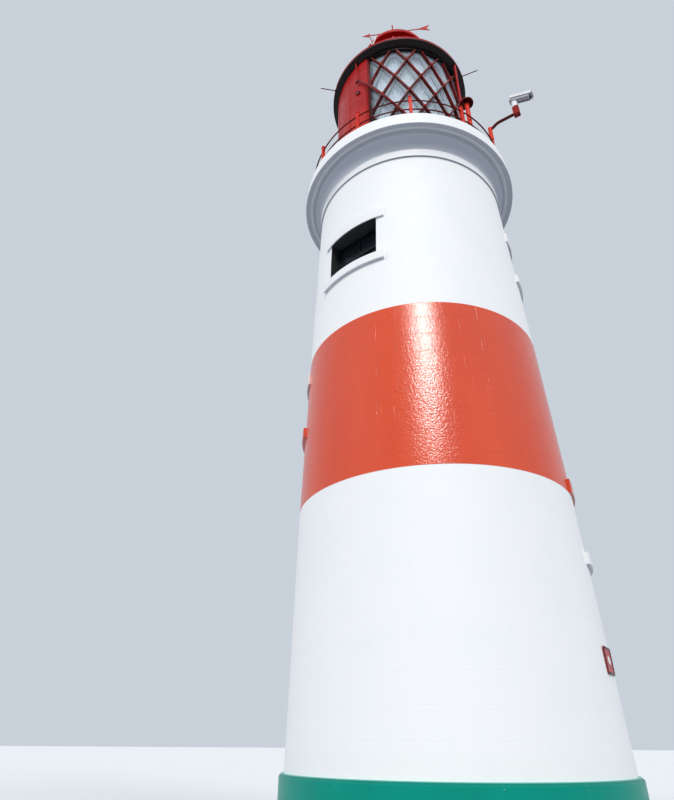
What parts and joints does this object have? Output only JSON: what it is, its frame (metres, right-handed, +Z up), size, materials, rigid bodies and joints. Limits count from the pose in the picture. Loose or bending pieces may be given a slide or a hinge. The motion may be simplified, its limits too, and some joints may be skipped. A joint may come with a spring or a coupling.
{
  "type": "banded lighthouse tower",
  "caption": "Round tapering masonry lighthouse tower in white with a red band and green plinth, railed gallery, lattice-glazed red lantern, dome, louvred ventilator and vane.",
  "frame": {"origin": "on the tower's axis at ground level, at the underside of the plinth", "axes": "+Z up the axis; -Y faces the pictured side, with the optic's blank panels and the wide window to the -X side; the gallery camera is on the +X side"},
  "size_m": [6.7554, 5.9698, 24.95],
  "materials": {
    "red_masonry": "orange-red gloss masonry paint",
    "red_iron": "red gloss paint on iron",
    "camera_white": "white enamel",
    "white_masonry": "white gloss masonry paint over dressed courses",
    "green_joinery": "green gloss paint",
    "white_joinery": "white gloss paint",
    "floor_stone": "flagged stone",
    "clear_glass": "clear",
    "dark_red_iron": "dark red paint on iron",
    "white_iron": "white gloss paint on iron",
    "red_plate": "enamelled",
    "optic_brass": "dull brass",
    "optic_glass": "prismatic",
    "green_masonry": "green masonry paint",
    "dark_frame": "dark paint"
  },
  "bodies": {
    "root": {"band_wall_back": "red_masonry", "band_wall_front": "red_masonry", "band_wall_left": "red_masonry", "band_wall_right": "red_masonry", "camera_arm": "red_iron", "camera_bracket": "red_iron", "camera_housing": "camera_white", "camera_shield": "camera_white", "cornice_back": "white_masonry", "cornice_front": "white_masonry", "cornice_left": "white_masonry", "cornice_right": "white_masonry", "dome": "red_iron", "door": "green_joinery", "door_frame": "white_joinery", "gallery_railing_back": "red_iron", "gallery_railing_front": "red_iron", "gallery_railing_left": "red_iron", "gallery_railing_right": "red_iron", "gallery_vent": "red_iron", "ground_floor": "floor_stone", "lantern_base": "red_iron", "lantern_blank_panels": "red_iron", "lantern_downpipe": "red_iron", "lantern_floor": "floor_stone", "lantern_glazing": "clear_glass", "lantern_grab_bar": "red_iron", "lantern_handrail": "dark_red_iron", "lantern_head": "red_iron", "lantern_inner_bars": "white_iron", "lantern_lattice": "dark_red_iron", "lantern_mullions": "dark_red_iron", "lantern_port": "dark_red_iron", "lantern_stay": "red_iron", "lower_wall_back": "white_masonry", "lower_wall_front": "white_masonry", "lower_wall_left": "white_masonry", "lower_wall_right": "white_masonry", "notice_plate": "red_plate", "optic_bars": "optic_brass", "optic_crown": "optic_brass", "optic_lens": "optic_glass", "optic_pedestal": "optic_brass", "plinth": "green_masonry", "rim_aerial": "camera_white", "rim_rods": "red_iron", "signal_room_floor": "floor_stone", "upper_wall_back": "white_masonry", "upper_wall_front": "white_masonry", "upper_wall_left": "white_masonry", "upper_wall_right": "white_masonry", "vane": "red_iron", "ventilator": "red_iron", "ventilator_collar": "red_iron", "window_frames": "dark_frame", "window_lintels": "white_masonry", "window_panes": "clear_glass", "window_sills": "white_masonry"}
  },
  "joints": []
}
